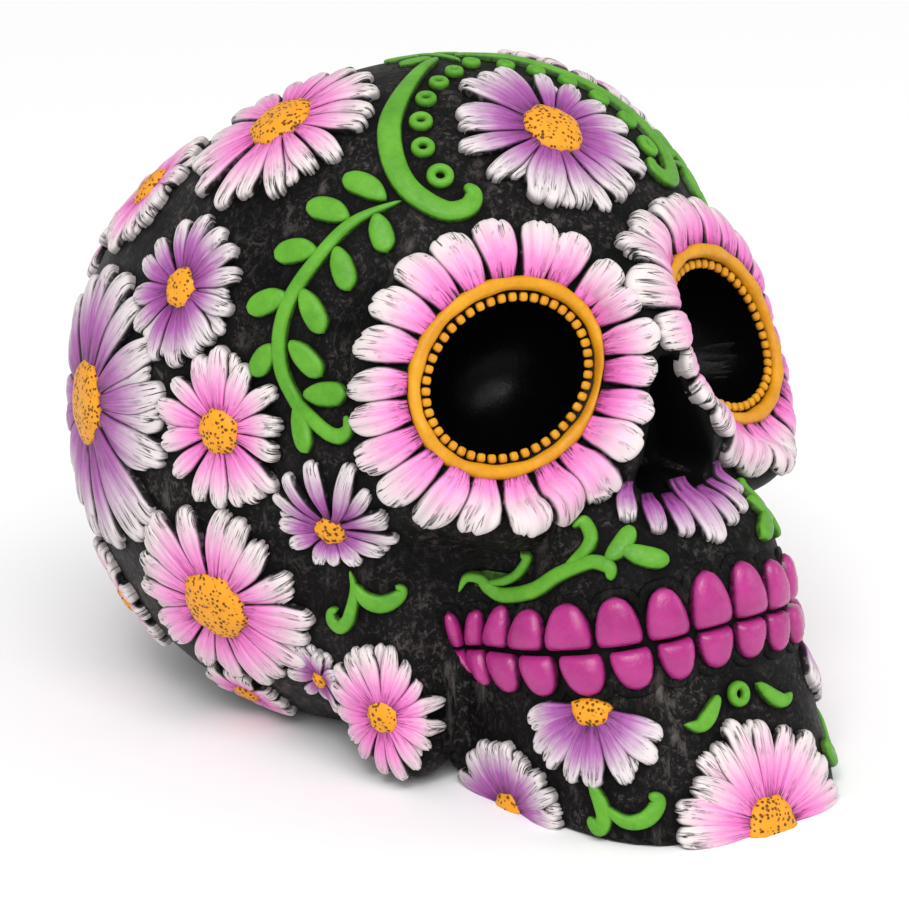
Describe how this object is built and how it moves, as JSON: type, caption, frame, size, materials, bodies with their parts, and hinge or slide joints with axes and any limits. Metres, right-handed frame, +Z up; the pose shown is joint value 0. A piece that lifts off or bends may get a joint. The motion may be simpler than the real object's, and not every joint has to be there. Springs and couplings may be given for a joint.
{
  "type": "sugar skull",
  "caption": "Standing decorative skull with a black body, rows of magenta teeth and raised daisies, eye petals, leaf sprays and scrolls, flat underneath.",
  "frame": {"origin": "on the standing plane, under the middle of the overall box", "axes": "+Z up, face towards -Y, +X to the skull's own left"},
  "size_m": [0.1308, 0.1806, 0.1265],
  "materials": {
    "skull_black": "satin painted cast resin with dry grey scuffs",
    "petal_pink": "hand-painted, pink at the root to off-white at the tip",
    "petal_purple": "hand-painted, violet at the root to lilac at the tip",
    "rim_orange": "satin orange paint with dark pits",
    "leaf_green": "satin green paint",
    "tooth_magenta": "gloss magenta paint"
  },
  "bodies": {
    "root": {"back_base_daisy": "petal_pink", "back_daisy": "petal_purple", "back_top_daisy": "petal_pink", "chin_daisy": "petal_pink", "chin_dot": "leaf_green", "cranium": "skull_black", "forehead_daisy": "petal_purple", "left_back_low_daisy": "petal_purple", "left_back_mid_daisy": "petal_pink", "left_base_daisy": "petal_pink", "left_behind_jaw_daisy": "petal_purple", "left_brow_scroll": "leaf_green", "left_cheek_daisy": "petal_purple", "left_cheek_sprig": "leaf_green", "left_chin_leaf": "leaf_green", "left_crown_daisy": "petal_pink", "left_eye_petals": "petal_pink", "left_eye_rim": "rim_orange", "left_jaw_base_daisy": "petal_purple", "left_jaw_corner_daisy": "petal_pink", "left_jaw_daisy": "petal_purple", "left_jaw_sprig": "leaf_green", "left_leaf_spray": "leaf_green", "left_lip_scroll": "leaf_green", "left_low_daisy": "petal_pink", "left_mid_daisy": "petal_pink", "left_rear_low_daisy": "petal_pink", "left_rear_top_daisy": "petal_pink", "left_side_daisy": "petal_purple", "left_temple_daisy": "petal_purple", "lower_jaw": "skull_black", "lower_teeth": "tooth_magenta", "nose_petals": "petal_purple", "right_back_low_daisy": "petal_purple", "right_back_mid_daisy": "petal_pink", "right_base_daisy": "petal_pink", "right_behind_jaw_daisy": "petal_purple", "right_brow_scroll": "leaf_green", "right_cheek_daisy": "petal_purple", "right_cheek_sprig": "leaf_green", "right_chin_leaf": "leaf_green", "right_crown_daisy": "petal_pink", "right_eye_petals": "petal_pink", "right_eye_rim": "rim_orange", "right_jaw_base_daisy": "petal_purple", "right_jaw_corner_daisy": "petal_pink", "right_jaw_daisy": "petal_purple", "right_jaw_sprig": "leaf_green", "right_leaf_spray": "leaf_green", "right_lip_scroll": "leaf_green", "right_low_daisy": "petal_pink", "right_mid_daisy": "petal_pink", "right_rear_low_daisy": "petal_pink", "right_rear_top_daisy": "petal_pink", "right_side_daisy": "petal_purple", "right_temple_daisy": "petal_purple", "upper_teeth": "tooth_magenta"}
  },
  "joints": []
}
